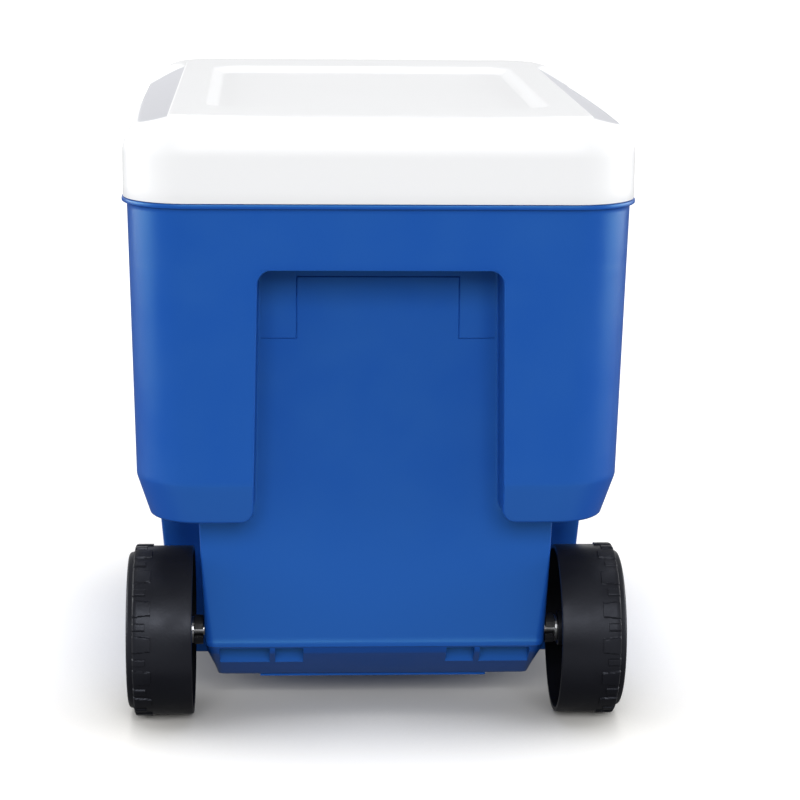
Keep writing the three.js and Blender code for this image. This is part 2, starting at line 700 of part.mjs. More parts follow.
place('body_shell', 'blue', geometryOf(bodyShell()));
place('inner_liner', 'liner', geometryOf(innerLiner()));
place('body_foam', 'foam', geometryOf(bodyFoam()));
place('lid_shell', 'white', geometryOf(lidShell()));
place('lid_liner', 'liner', geometryOf(lidLiner()));
place('lid_foam', 'foam', geometryOf(lidFoam()));

for (const [which, y] of [['front', -HINGE.y], ['rear', HINGE.y]]) {
  place(`hinge_${which}_body_leaf`, 'white', geometryOf(hingeBodyLeaf(y)));
  place(`hinge_${which}_lid_leaf`, 'white', geometryOf(hingeLidLeaf(y)));
  place(`hinge_${which}_pin`, 'steel', geometryOf(hingePin(y)));
  for (const [leaf, { face, screwZ }] of Object.entries(LEAVES)) {
    for (const n of [1, 2]) {
      const one = place(`hinge_${which}_${leaf}_screw_${n}`, 'steel', screw(SCREW_LENGTH.hinge));
      one.rotation.y = Math.PI / 2;
      one.position.set(face + GAP + SCREW.headHeight, y + (2 * n - 3) * HINGE_SCREW_Y, screwZ);
    }
  }
}

place('axle', 'steel', geometryOf(rod('x', AXLE_R, -AXLE_END, AXLE_END, AXLE_AT)));
for (const [which, side] of [['left', -1], ['right', 1]]) {
  place(`axle_clip_${which}`, 'black', geometryOf(axleClip(side)));
  for (const [name, finish, solid] of [
    [`wheel_${which}`, 'black', wheelSolid()],
    [`axle_washer_${which}`, 'steel', axleWasher()],
    [`axle_cap_${which}`, 'steel', axleCap()],
  ]) {
    place(name, finish, alongAxle(solid, side)).position.set(0, ...AXLE_AT);
  }
  place(`rear_foot_${which}`, 'black', geometryOf(foot(side)));
  place(`handle_outer_tube_${which}`, 'alloy', geometryOf(outerTube(side)));
  place(`handle_inner_tube_${which}`, 'alloy', geometryOf(innerTube(side)));
  place(`tube_plug_${which}`, 'black', geometryOf(tubePlug(side)));
  place(`lock_pin_${which}`, 'steel', geometryOf(lockPin(side)));
  const gripScrew = place(`grip_screw_${which}`, 'steel', screw(SCREW_LENGTH.grip));
  gripScrew.position.set(side * GRIP_SCREW_X, TUBE.y, GRIP.high - 1.2);
}

for (const [which, size] of [['upper', UPPER_BRACKET], ['lower', LOWER_BRACKET]]) {
  place(`handle_${which}_bracket`, 'black', geometryOf(bracket(size)));
  BRACKET_SCREW_XS.forEach((x, i) => {
    const one = place(`${which}_bracket_screw_${i + 1}`, 'steel', screw(SCREW_LENGTH.bracket));
    one.rotation.x = -Math.PI / 2;
    const y = size.back + BRACKET.plate + GAP + SCREW.headHeight;
    one.position.set(x, y, (size.low + size.high) / 2);
  });
}

place('grip_body', 'black', geometryOf(gripBody()));
place('grip_cover', 'black', geometryOf(gripCover()));
place('push_button', 'button', geometryOf(pushButton()));
place('release_bar', 'black', geometryOf(releaseBar()));
place('button_spring', 'steel', geometryOf(buttonSpring()));

export default root;
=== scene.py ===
"""A wheeled picnic cooler: the fine visible shells and the materials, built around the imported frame.

Lengths in the builders below are millimetres in the cooler's own frame: x across, y from the wheels to
the tow handle with 0 at the middle of the lid, z up from the floor. `to_row` turns them into metres in the
row's frame.
"""
import json
from math import cos, pi, radians, sin, sqrt

import bmesh
import bpy
import numpy as np
from mathutils import Matrix, Vector


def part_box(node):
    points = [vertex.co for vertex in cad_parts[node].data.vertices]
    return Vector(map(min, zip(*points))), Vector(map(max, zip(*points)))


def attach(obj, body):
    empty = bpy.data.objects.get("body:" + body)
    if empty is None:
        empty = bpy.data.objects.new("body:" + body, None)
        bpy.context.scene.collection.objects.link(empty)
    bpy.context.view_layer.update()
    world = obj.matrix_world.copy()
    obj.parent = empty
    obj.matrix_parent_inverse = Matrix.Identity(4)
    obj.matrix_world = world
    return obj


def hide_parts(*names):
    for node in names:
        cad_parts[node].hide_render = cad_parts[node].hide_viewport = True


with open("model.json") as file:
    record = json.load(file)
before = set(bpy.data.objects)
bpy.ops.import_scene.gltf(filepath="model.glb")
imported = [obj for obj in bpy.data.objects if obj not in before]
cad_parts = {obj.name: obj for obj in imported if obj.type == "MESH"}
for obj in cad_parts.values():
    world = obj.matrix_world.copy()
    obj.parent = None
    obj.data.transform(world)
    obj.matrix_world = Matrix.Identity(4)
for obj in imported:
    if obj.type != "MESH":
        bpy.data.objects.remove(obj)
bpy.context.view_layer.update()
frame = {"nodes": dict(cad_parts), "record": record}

MM = 0.001
lid_low, lid_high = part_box("lid_shell")
MID_Y = (lid_low[1] + lid_high[1]) / 2  # the middle of the lid in the row's frame, in metres

# ---------------------------------------------------------------- dimensions, millimetres

RIM_Z = 391.0
WALL = 3.0
LINER_WALL = 2.5
FOAM_TO_BODY, FOAM_TO_LINER = 3.6, 2.9  # from the foam to the body's outside and to the liner's inside

LID_X, LID_Y, LID_CORNER = 181.4, 252.0, 46.5
LID_LOW, LID_TOP = RIM_Z + 0.3, 450.0
EDGE_X, EDGE_Y, EDGE_Z = 33.4, 23.0, 27.0
PANEL_X, PANEL_NEAR, PANEL_FAR, PANEL_RISE, PANEL_BOW = 148.0, -230.0, 224.0, 1.0, 9.0
TRAY_X, TRAY_NEAR, TRAY_FAR, TRAY_DEPTH, TRAY_SLOPE, TRAY_CORNER = 122.5, -176.0, 155.0, 4.5, 5.0, 22.0
SCOOP_NEAR, SCOOP_FAR, SCOOP_REACH = -222.0, 134.0, 60.0
SCOOP_END = SCOOP_FAR + SCOOP_REACH

NOSE_Y = -200.0
WELL_Y = -112.0
AXLE_Y, WHEEL_R = -184.0, 63.5
WHEEL_INNER, WHEEL_OUTER = 134.0, 177.0


# ---------------------------------------------------------------- mesh helpers

def new_object(name, mesh, body, cad_nodes=(), material=None, smooth_angle=35):
    mesh.validate()
    mesh.shade_smooth()
    if smooth_angle:
        mesh.set_sharp_from_angle(angle=radians(smooth_angle))
    piece = bpy.data.objects.new(name, mesh)
    bpy.context.scene.collection.objects.link(piece)
    if material:
        mesh.materials.append(material)
    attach(piece, body)
    if cad_nodes:
        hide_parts(*cad_nodes)
    return piece


def to_row(points):
    points = np.asarray(points, float) * MM
    points[..., 1] += MID_Y
    return points


def skin(rings):
    """A closed mesh over rings of points: each ring is an (n, 3) array, in order along the skin."""
    rings = [np.asarray(r, float) for r in rings]
    count = len(rings[0])
    points = to_row(np.concatenate(rings))
    faces = []
    for i in range(len(rings) - 1):
        a, b = i * count, (i + 1) * count
        for j in range(count):
            k = (j + 1) % count
            faces.append((a + j, a + k, b + k, b + j))
    faces.append(tuple(range(count - 1, -1, -1)))
    last = (len(rings) - 1) * count
    faces.append(tuple(range(last, last + count)))
    mesh = bpy.data.meshes.new("skin")
    mesh.from_pydata([tuple(p) for p in points], [], faces)
    tidy(mesh)
    return mesh


def tidy(mesh, merge=2e-6):
    """Merges doubled points and turns every face outwards."""
    work = bmesh.new()
    work.from_mesh(mesh)
    bmesh.ops.remove_doubles(work, verts=work.verts, dist=merge)
    bmesh.ops.dissolve_degenerate(work, edges=work.edges, dist=1e-7)
    bmesh.ops.recalc_face_normals(work, faces=work.faces)
    work.to_mesh(mesh)
    work.free()


def block(a, b):
    """A plain box between two corners, as a mesh in the row's frame."""
    low, high = to_row([np.minimum(a, b), np.maximum(a, b)])
    work = bmesh.new()
    bmesh.ops.create_cube(work, size=1.0)
    bmesh.ops.transform(work, matrix=Matrix.Translation(Vector((low + high) / 2))
                        @ Matrix.Diagonal(Vector((*(high - low), 1))), verts=work.verts)
    mesh = bpy.data.meshes.new("block")
    work.to_mesh(mesh)
    work.free()
    return mesh


def merged(meshes):
    work = bmesh.new()
    for mesh in meshes:
        work.from_mesh(mesh)
    joined = bpy.data.meshes.new("merged")
    work.to_mesh(joined)
    work.free()
    return joined


def carved(mesh, cutter):
    """mesh less cutter, as a new mesh."""
    kept = bpy.data.objects.new("kept", mesh)
    tool = bpy.data.objects.new("tool", cutter)
    for one in (kept, tool):
        bpy.context.scene.collection.objects.link(one)
    cut = kept.modifiers.new("cut", "BOOLEAN")
    cut.operation, cut.solver, cut.object = "DIFFERENCE", "EXACT", tool
    result = bpy.data.meshes.new_from_object(kept.evaluated_get(bpy.context.evaluated_depsgraph_get()))
    for one in (kept, tool):
        bpy.data.objects.remove(one)
    return result


def placed(mesh, matrix):
    """mesh, in millimetres, turned and moved by matrix and then taken into the row's frame."""
    work = bmesh.new()
    work.from_mesh(mesh)
    to_metres = Matrix.Translation((0, MID_Y, 0)) @ Matrix.Scale(MM, 4)
    bmesh.ops.transform(work, matrix=to_metres @ matrix, verts=work.verts)
    bmesh.ops.remove_doubles(work, verts=work.verts, dist=2e-6)
    bmesh.ops.dissolve_degenerate(work, edges=work.edges, dist=1e-7)
    bmesh.ops.recalc_face_normals(work, faces=work.faces)
    work.to_mesh(mesh)
    work.free()
    return mesh


def mirrored(half):
    """A closed ring from its +x half, which runs from the near middle to the far middle."""
    half = np.asarray(half, float)
    left = half[-2:0:-1].copy()
    left[:, 0] *= -1
    return np.concatenate([half, left])


def spread(a, b, count):
    """count points from a up to, and without, b."""
    t = np.arange(count)[:, None] / count
    return np.asarray(a, float) * (1 - t) + np.asarray(b, float) * t


def arc(centre, radius, start, end, count):
    """count points of an arc from start up to, and without, end; angles in degrees from +x."""
    angles = np.radians(start + (end - start) * np.arange(count) / count)
    return np.stack([centre[0] + radius * np.cos(angles), centre[1] + radius * np.sin(angles)], 1)


def with_z(points, z):
    points = np.asarray(points, float)
    return np.column_stack([points, np.broadcast_to(z, len(points))])


def smoothstep(x):
    x = np.clip(x, 0, 1)
    return x * x * (3 - 2 * x)


# ---------------------------------------------------------------- body shell

SKIRT_ROWS = [  # z, half width, half length, corner radius
    (158, 164.4, 233.5, 36),
    (187, 173.7, 243.6, 43),
    (189, 174.1, 244.05, 43),
    (391, 178.7, 248.7, 43),
]


def at_height(rows, z):
    """Every column of rows but the first, which holds heights, worked out at height z."""
    heights = [row[0] for row in rows]
    return [np.interp(z, heights, column) for column in list(zip(*rows))[1:]]


NOTCH_TOP_Z, NOTCH_TOP_RADIUS = 333.5, 10.5
NOTCH_FOOT_Z, NOTCH_FOOT_RADIUS = 168, 10
RECESS_TOP = NOTCH_TOP_Z + NOTCH_TOP_RADIUS


def notch_half_width(z):
    """Half width of the hand recess at height z, with its round corners at the top and at the feet."""
    width = 89.6 - 3.2 * (z - 158) / 176
    if z > NOTCH_TOP_Z:
        width = 75.9 + sqrt(max(NOTCH_TOP_RADIUS ** 2 - (z - NOTCH_TOP_Z) ** 2, 0))
    if z < NOTCH_FOOT_Z:
        width += NOTCH_FOOT_RADIUS - sqrt(max(NOTCH_FOOT_RADIUS ** 2 - (NOTCH_FOOT_Z - z) ** 2, 0))
    return width


PARTING_X, PARTING_LOW, PARTING_TOP = 58.5, 287, 332  # the grooves around the two blocks in the recess
GROOVE_HALF, GROOVE_DEPTH = 0.5, 0.9
PARTING = [58.0, 58.25, 58.5, 58.75, 59.0]


def panel_y(x, z):
    """The recess panel: a slightly proud block in each upper corner, and the grooves around them."""
    x = np.abs(x)
    height = np.interp(z, [PARTING_LOW, PARTING_TOP], [0.9, 0.2])
    proud = smoothstep((x - 58.3) / 0.4) * smoothstep((z - 286.8) / 0.4) * height
    upright = np.clip(1 - np.abs(x - PARTING_X) / GROOVE_HALF, 0, 1) * (PARTING_LOW <= z <= PARTING_TOP)
    low = max(0, 1 - abs(z - PARTING_LOW) / GROOVE_HALF) * (x > PARTING_X)
    top = max(0, 1 - abs(z - PARTING_TOP) / GROOVE_HALF) * (x < PARTING_X)
    return NOSE_Y - proud + GROOVE_DEPTH * np.maximum(upright, np.maximum(low, top))


def skirt_half(z, t=0.0, flare=0.0, notch=1.0, deep=None):
    """The +x half of the skirt's outline: t moves it in, flare out; notch 0 closes the hand recess.

    deep is the y of the recess panel where it is not NOSE_Y moved in by t.
    """
    hx, hy, r = at_height(SKIRT_ROWS, z)
    hx, hy, r = hx - t + flare, hy - t + flare, r - t + flare
    w = notch_half_width(z) + t
    near = -hy
    deep = NOSE_Y + t if deep is None else deep
    f_in, f_out = 3.0, 1.8
    xs = np.concatenate([np.linspace(0, 57.6, 7), PARTING, np.linspace(60, w - f_in, 5)])
    if notch > 0.5:
        panel_at = panel_y(xs, z) if t == 0 else np.full(len(xs), deep)
        side = [
            np.column_stack([xs, panel_at])[:-1],
            arc((w - f_in, deep - f_in), f_in, 90, 0, 5),
            spread((w, deep - f_in), (w, near + f_out), 5),
            arc((w + f_out, near + f_out), f_out, 180, 270, 5),
        ]
    else:
        tail = np.linspace(w - f_in, w + f_out, 16)[:-1]
        side = [np.column_stack([xs[:-1], np.full(len(xs) - 1, near)]),
                np.column_stack([tail, np.full(15, near)])]
    front = spread((w + f_out, near), (hx - r, near), 8)
    corner = arc((hx - r, near + r), r, -90, 0, 22)
    flank = spread((hx, near + r), (hx, WELL_Y), 10)
    long_side = spread((hx, WELL_Y), (hx, hy - r), 16)
    far = arc((hx - r, hy - r), r, 0, 90, 22)
    end = spread((hx - r, hy), (0, hy), 10)
    return np.concatenate([*side, front, corner, flank, long_side, far, end, [(0, hy)]])


TUB_ROWS = [  # z, half width, far end, nose half width, nose y, nose corner radius
    (23, 151.2, 224.1, 116.5, -167.0, 3.0),
    (31, 151.9, 224.5, 118.5, -176.4, 5.0),
    (50, 153.7, 225.5, 124.6, -198.0, 9.0),
    (53.6, 154.0, 225.7, 125.2, -199.4, 8.0),
    (54.8, 154.1, 225.8, 125.6, -200.8, 7.5),
    (57.5, 154.4, 225.9, 125.9, -201.0, 7.0),
    (60.5, 154.7, 226.1, 126.0, -200.2, 7.0),
    (64, 155.0, 226.3, 126.2, -200.0, 6.5),
    (117, 159.9, 229.0, 128.3, -200.0, 1.6),
    (158, 163.7, 231.0, 129.9, -200.0, 1.4),
]


def tub_half(z, t=0.0):
    """The +x half of the tub's outline: nose between the wheels, wheel well, long side."""
    hx, far_y, nx, ny, nr = at_height(TUB_ROWS, z)
    hx, far_y, nx, ny = hx - t, far_y - t, nx - t, ny + t
    nr = max(nr - t, 0.5)
    if t > 0 and z < 58:
        ny = max(ny, -180 + t)  # the chin is solid behind its pockets
    well = WELL_Y + t
    r = 30 - t
    w = 88.0
    xs = np.concatenate([np.linspace(0, 57.6, 7), PARTING, np.linspace(60, w, 5)])[:-1]
    side = [
        np.column_stack([xs, np.full(len(xs), ny)]),
        spread((w, ny), (nx - nr, ny), 15),
        arc((nx - nr, ny + nr), nr, -90, 0, 8),
        spread((nx, ny + nr), (nx, -140), 22),
        spread((nx, -140), (nx, well - 4), 3),
        arc((nx + 4, well - 4), 4, 180, 90, 3),
        spread((nx + 4, well), (hx - 3, well), 2),
        arc((hx - 3, well + 3), 3, -90, 0, 2),
        spread((hx, well + 3), (hx, far_y - r), 16),
        arc((hx - r, far_y - r), r, 0, 90, 22),
        spread((hx - r, far_y), (0, far_y), 10),
        [(0, far_y)],
    ]
    return np.concatenate(side)


def keel_half(near, t=0.0):
    """The tub's outline drawn in to the flat keel under it, point for point."""
    half = tub_half(23, t)
    out = half.copy()
    out[:, 0] = np.clip(half[:, 0], 0, 85 - t)
    out[:, 1] = np.clip(half[:, 1], near + t, 194 - t)
    return out


TUB_OUTER_Z = [23.5, 25, 31, 36, 42, 47, 50, 53.6, 54.2, 54.8, 55.5, 56.5, 57.5, 58.5, 60.5, 62, 64, 80, 100,
               117, 137, 157.99]
SKIRT_FOOT_Z = [158.35, 159.2, 160, 161.5, 163, 165, 167, 170, 176, 184, 187, 188, 189, 192]
SKIRT_CLIMB_Z = [*np.linspace(200, 284, 10), 286.5, 286.75, 287, 287.25, 287.5, 290, 300, 312, 322, 330,
                 331.5, 331.75, 332, 332.25, 332.5]
NOTCH_ROUND_DEGREES = [8, 16, 24, 32, 40, 48, 56, 64, 72, 80, 86]
LIP = [  # z, how far the lip under the lid stands out
    (386.8, 0.25), (387.2, 0.9), (387.5, 2.0), (387.8, 3.0), (388.2, 3.5), (388.8, 3.6), (390.0, 3.6),
    (390.6, 3.45), (390.9, 3.1), (391.0, 2.6),
]


def outer_body_rings():
    rings = [
        with_z(mirrored(keel_half(-164) * (0.98, 0.99)), 20.0),
        with_z(mirrored(keel_half(-165)), 20.6),
        with_z(mirrored(keel_half(-165)), 22.3),
        with_z(mirrored(tub_half(23) * (0.985, 0.99)), 22.5),
    ]
    rings += [with_z(mirrored(tub_half(z)), z) for z in TUB_OUTER_Z]
    rings.append(with_z(mirrored(skirt_half(158.0, 1.2, deep=NOSE_Y)), 158.0))
    for z in SKIRT_FOOT_Z:
        rounded = max(0, (159.2 - z) * 0.8)
        rings.append(with_z(mirrored(skirt_half(z, rounded, deep=NOSE_Y)), z))
    round_top = [NOTCH_TOP_Z + NOTCH_TOP_RADIUS * sin(a) for a in np.radians(NOTCH_ROUND_DEGREES)]
    rings += [with_z(mirrored(skirt_half(z)), z) for z in SKIRT_CLIMB_Z + round_top]
    rings.append(with_z(mirrored(skirt_half(RECESS_TOP)), RECESS_TOP))
    for a in np.radians([0, 22.5, 45, 67.5, 90]):
        half = lifted(skirt_half(RECESS_TOP, notch=0), 0.5 * (1 - sin(a)))
        rings.append(with_z(mirrored(half), RECESS_TOP + 0.5 * (1 - cos(a))))
    rings += [with_z(mirrored(skirt_half(z, notch=0)), z) for z in (350, 362, 374, 384, 386.2)]
    rings += [with_z(mirrored(skirt_half(z, notch=0, flare=flare)), z) for z, flare in LIP]
    return rings


def inner_body_rings():
    """The body's hidden side, WALL in from its outside."""
    rings = [with_z(mirrored(tub_half(z, WALL)), z) for z in (26, 36, 54, 62, 117, 161)]
    rings += [with_z(mirrored(skirt_half(z, WALL)), z) for z in (161.001, 188, 287, 333, 340, 344, 346.9)]
    rings += [with_z(mirrored(skirt_half(z, WALL, notch=0)), z) for z in (347, 391)]
    return rings


def lifted(half, lift):
    """Moves the front face of a closed outline in by lift, as far as the recess is wide."""
    out = half.copy()
    front = out[:, 1] < -240
    out[front & (out[:, 0] < 78), 1] += lift
    return out


POCKETS = ((53, 74), (78, 115))  # x from and to, on both sides
POCKET_NEAR, POCKET_FAR = -206, -184.0
POCKET_LOW, POCKET_HIGH = 37.0, 53.3


def build_body(material):
    mesh = skin(outer_body_rings() + inner_body_rings()[::-1])
    pockets = []
    for low, high in POCKETS:
        for side in (1, -1):
            corners = (side * low, POCKET_NEAR, POCKET_LOW), (side * high, POCKET_FAR, POCKET_HIGH)
            pockets.append(block(*corners))
    mesh = carved(mesh, merged(pockets))
    return new_object("body_moulding", mesh, "base", ["body_shell"], material, 30)


# ---------------------------------------------------------------- liner and foam

CAVITY_ROWS = [  # z, half width, near end, far end, corner radius
    (54, 134, -165, 195, 24),
    (56, 136.5, -167.5, 197.5, 25),
    (62, 140, -171, 201, 28),
    (391, 153, -178, 214, 32),
]
WHEEL_STEP_TOP = 180


def cavity_half(z, t=0.0):
    """The +x half of the food space's outline, grown by t, with its step over each wheel."""
    hx, near, far, r = at_height(CAVITY_ROWS, z)
    hx, near, far, r = hx + t, near - t, far + t, r + t
    if z < WHEEL_STEP_TOP - t:
        x, y, f = 108 + t, -92 - t, 8.0
        first = [
            spread((0, near), (x - f, near), 8), arc((x - f, near + f), f, -90, 0, 6),
            spread((x, near + f), (x, y - f), 8), arc((x + f, y - f), f, 180, 90, 6),
            spread((x + f, y), (hx - 4, y), 4), arc((hx - 4, y + 4), 4, -90, 0, 4),
            spread((hx, y + 4), (hx, far - r), 12),
        ]
    else:
        first = [spread((0, near), (hx - r, near), 8), arc((hx - r, near + r), r, -90, 0, 28),
                 spread((hx, near + r), (hx, far - r), 12)]
    rest = [arc((hx - r, far - r), r, 0, 90, 12), spread((hx - r, far), (0, far), 8), [(0, far)]]
    return np.concatenate([*first, *rest])


def flange_half(inset):
    """The +x half of the outline of the flange that lies on the body's rim."""
    hx, hy, r = 175.4 - inset, 245.4 - inset, 40.0 - inset
    return np.concatenate([
        spread((0, -hy), (hx - r, -hy), 8), arc((hx - r, -hy + r), r, -90, 0, 28),
        spread((hx, -hy + r), (hx, hy - r), 12), arc((hx - r, hy - r), r, 0, 90, 12),
        spread((hx - r, hy), (0, hy), 8), [(0, hy)]])


def build_liner(material):
    levels = [54, 54.6, 56, 59, 62, 90, 120, 150, 172, 176, 178.5, 179.9, 180.1, 181.5, 190, 220, 260, 300,
              340, 375, 386]
    soft = {54: 3.0, 54.6: 1.2, 178.5: 0.4, 179.9: 1.6}  # draws these levels in, for round edges
    inside = [with_z(mirrored(cavity_half(z, -soft.get(z, 0))), z) for z in levels]
    round_rim = ((389, 0.3), (390.2, 0.9), (390.8, 1.8), (391, 2.8))  # height, growth
    rim = [with_z(mirrored(cavity_half(z, growth)), z) for z, growth in round_rim]
    round_edge = ((391, 0.6), (390.6, 0.1), (388.7, 0.0), (388.5, 0.2))  # height, inset
    edge = [with_z(mirrored(flange_half(inset)), z) for z, inset in round_edge]
    under = (388.5, 300, 200, 177.6, 177.4, 120, 62, 51.5)
    outside = [with_z(mirrored(cavity_half(z, LINER_WALL)), z) for z in under]
    mesh = skin(inside + rim + edge + outside)
    return new_object("liner_moulding", mesh, "base", ["inner_liner"], material, 32)


def build_foam(material):
    """The foam between the two skins, which only shows if either is taken away."""
    outside = [with_z(mirrored(tub_half(z, FOAM_TO_BODY)), z) for z in (26.6, 36, 54, 62, 117, 161)]
    outside += [with_z(mirrored(skirt_half(z, FOAM_TO_BODY)), z) for z in (162, 188, 287, 333, 340, 347.5)]
    outside += [with_z(mirrored(skirt_half(z, FOAM_TO_BODY, notch=0)), z) for z in (347.6, 388.1)]
    count = len(outside[0])
    levels = (388.1, 300, 200, 177.2, 177.0, 120, 62, 51)
    inside = [resampled(with_z(mirrored(cavity_half(z, FOAM_TO_LINER)), z), count) for z in levels]
    mesh = skin(outside + inside)
    return new_object("foam_fill", mesh, "base", ["body_foam"], material, 32)


def resampled(ring, count):
    """The same closed ring with count points, evenly spaced by index."""
    at = np.arange(count) * len(ring) / count
    low = np.floor(at).astype(int)
    part = (at - low)[:, None]
    return ring[low] * (1 - part) + ring[(low + 1) % len(ring)] * part


# ---------------------------------------------------------------- lid

def lid_rounding(x, y):
    """Height of the lid's rounded edge, wider along the long sides than at the ends."""
    qx, qy = np.abs(x) - (LID_X - LID_CORNER), np.abs(y) - (LID_Y - LID_CORNER)
    in_corner = np.hypot(np.maximum(qx, 0), np.maximum(qy, 0))
    depth = LID_CORNER - in_corner - np.minimum(np.maximum(qx, qy), 0)
    share = np.where((qx > 0) & (qy > 0), (np.maximum(qx, 0) / np.maximum(in_corner, 1e-6)) ** 2, qx > qy)
    inward = np.clip(depth / (EDGE_Y + (EDGE_X - EDGE_Y) * share), 0, 1)
    return LID_TOP - EDGE_Z + EDGE_Z * np.sqrt(np.maximum(1 - (1 - inward) ** 2, 0))


SCOOP_SLOPE_NEAR, SCOOP_SLOPE_GAIN = 0.28, 0.32  # fall per millimetre outwards, and its growth by the far end


def lid_height(x, y):
    """Height of the lid's outside: its rounding, cut down by the sloping scoop along each long side."""
    full = lid_rounding(x, y)
    out = np.maximum(np.abs(x) - PANEL_X, 0)
    slope = SCOOP_SLOPE_NEAR + SCOOP_SLOPE_GAIN * np.clip((y - SCOOP_NEAR) / (SCOOP_END - SCOOP_NEAR), 0, 1)
    scoop = LID_TOP - slope * out
    end = SCOOP_FAR + SCOOP_REACH * np.sqrt(np.maximum(1 - (1 - np.minimum(out / 30, 1)) ** 2, 0))
    rise = smoothstep((y - end + 1) / 9)
    return np.minimum(full, scoop + rise * np.maximum(full - scoop, 0))


LID_FLANK = np.unique(np.concatenate([
    np.linspace(-205.5, 126, 30), np.linspace(128, 150, 12), np.linspace(153, 205.5, 16)]))


def lid_outline_half(inset=0.0):
    r = LID_CORNER - inset
    hx, hy = LID_X - inset, LID_Y - inset
    flank = np.column_stack([np.full(len(LID_FLANK) - 1, hx), LID_FLANK[:-1]])
    return np.concatenate([
        spread((0, -hy), (LID_X - LID_CORNER, -hy), 24),
        arc((hx - r, -hy + r), r, -90, 0, 30),
        flank,
        arc((hx - r, hy - r), r, 0, 90, 30),
        spread((LID_X - LID_CORNER, hy), (0, hy), 14),
        [(0, hy)],
    ])


def panel_near_y(x):
    """The near edge of the raised panel, which bows towards the wheels."""
    return PANEL_NEAR - PANEL_BOW * (1 - (x / PANEL_X) ** 2)


def panel_outline_half(grow=0.0):
    """The raised panel's outline with the same points as the lid's."""
    hx, r = PANEL_X + grow, 4.0 + grow
    near_x = np.linspace(0, hx - r, 25)[:-1]
    corner = arc((hx - r, PANEL_NEAR + 0.4 + r - grow), r, -90, 0, 30)
    flank_y = LID_FLANK[:-1].copy()
    low = PANEL_NEAR + 0.4 + r
    flank_y = np.where(flank_y < -100, low + (flank_y + 205.5) * (-100 - low) / 105.5, flank_y)
    far_r = 26.0
    far_y = PANEL_FAR + grow
    scale = (far_y - far_r - 150) / (205.5 - 150)
    flank_y = np.where(flank_y > 150, 150 + (flank_y - 150) * scale, flank_y)
    return np.concatenate([
        np.column_stack([near_x, panel_near_y(near_x) - grow]),
        corner,
        np.column_stack([np.full(len(flank_y), hx), flank_y]),
        arc((hx - far_r, far_y - far_r), far_r, 0, 90, 30),
        spread((hx - far_r, far_y), (0, far_y), 14),
        [(0, far_y)],
    ])


def tray_outline_half(shrink=0.0):
    """The tray's outline with the same number of points again."""
    hx = TRAY_X - shrink
    near, far = TRAY_NEAR + shrink, TRAY_FAR - shrink
    r = TRAY_CORNER - shrink * 0.6
    flank = len(LID_FLANK) - 1
    return np.concatenate([
        spread((0, near), (hx - r, near), 24),
        arc((hx - r, near + r), r, -90, 0, 30),
        spread((hx, near + r), (hx, far - r), flank),
        arc((hx - r, far - r), r, 0, 90, 30),
        spread((hx - r, far), (0, far), 14),
        [(0, far)],
    ])


def lid_rings():
    rings = []
    outline = lid_outline_half()
    side = ((LID_LOW, 0.5), (LID_LOW + 0.15, 0.15), (LID_LOW + 0.5, 0.0), (400, 0.0), (410, 0.0), (418, 0.0))
    for z, inset in side:
        rings.append(with_z(mirrored(lid_outline_half(inset)), z))
    base = panel_outline_half(0.5)
    steps = 34
    for k in range(steps + 1):
        w = 1 - cos(k / steps * pi / 2)
        plan = outline * (1 - w) + base * w
        z = lid_height(plan[:, 0], plan[:, 1]) if k else np.full(len(plan), LID_TOP - EDGE_Z)
        rings.append(mirrored(np.column_stack([plan, z])))
    for grow, rise in ((0.35, 0.12), (0.15, 0.5), (-0.15, 0.85), (-0.5, 1.0), (-1.5, 1.0)):
        plan = panel_outline_half(grow)
        z = lid_height(np.clip(plan[:, 0], 0, PANEL_X), plan[:, 1]) + rise * PANEL_RISE
        rings.append(mirrored(np.column_stack([plan, z])))
    inner = panel_outline_half(-1.5)
    rim = tray_outline_half(-3.0)
    for w in (0.1, 0.25, 0.45, 0.7, 1.0):
        plan = inner * (1 - w) + rim * w
        z = lid_height(np.clip(plan[:, 0], 0, PANEL_X), plan[:, 1]) + PANEL_RISE
        rings.append(mirrored(np.column_stack([plan, z])))
    for shrink in np.linspace(-2.4, TRAY_SLOPE + 2.4, 16):
        drop = smoothstep((shrink + 3) / (TRAY_SLOPE + 6)) * (TRAY_DEPTH + PANEL_RISE)
        rings.append(with_z(mirrored(tray_outline_half(shrink)), LID_TOP + PANEL_RISE - drop))
    floor = LID_TOP - TRAY_DEPTH
    for shrink in (TRAY_SLOPE + 3, 25.0):
        rings.append(with_z(mirrored(tray_outline_half(shrink)), floor))
    return rings


def lid_inner_rings():
    """The underside of the lid moulding, WALL in from its outside."""
    rings = []
    for z, inset in ((LID_LOW, WALL - 0.3), (LID_LOW + 0.3, WALL), (420, WALL)):
        rings.append(with_z(mirrored(lid_outline_half(inset)), z))
    outline = lid_outline_half(WALL)
    base = panel_outline_half(-WALL)
    for k in range(1, 9):
        w = 1 - cos(k / 8 * pi / 2)
        plan = outline * (1 - w) + base * w
        above_x, above_y = plan[:, 0] * (LID_X / (LID_X - WALL)), plan[:, 1] * (LID_Y / (LID_Y - WALL))
        z = lid_height(above_x, above_y) - WALL * 1.2
        rings.append(mirrored(np.column_stack([plan, np.maximum(z, 420)])))
    for shrink, z in ((-8.0, LID_TOP - WALL), (-4.0, LID_TOP - WALL), (4.0, LID_TOP - TRAY_DEPTH - WALL),
                      (25.0, LID_TOP - TRAY_DEPTH - WALL)):
        rings.append(with_z(mirrored(tray_outline_half(shrink)), z))
    return rings


LID_FOAM = ((4.0, 394.6), (4.0, 418.0), (6.5, 424.0), (11.0, 430.0), (40.0, 436.0))  # inset, height


def build_lid_foam(material):
    rings = [with_z(mirrored(lid_outline_half(inset)), z) for inset, z in LID_FOAM]
    return new_object("lid_foam_fill", skin(rings), "lid", ["lid_foam"], material, 32)


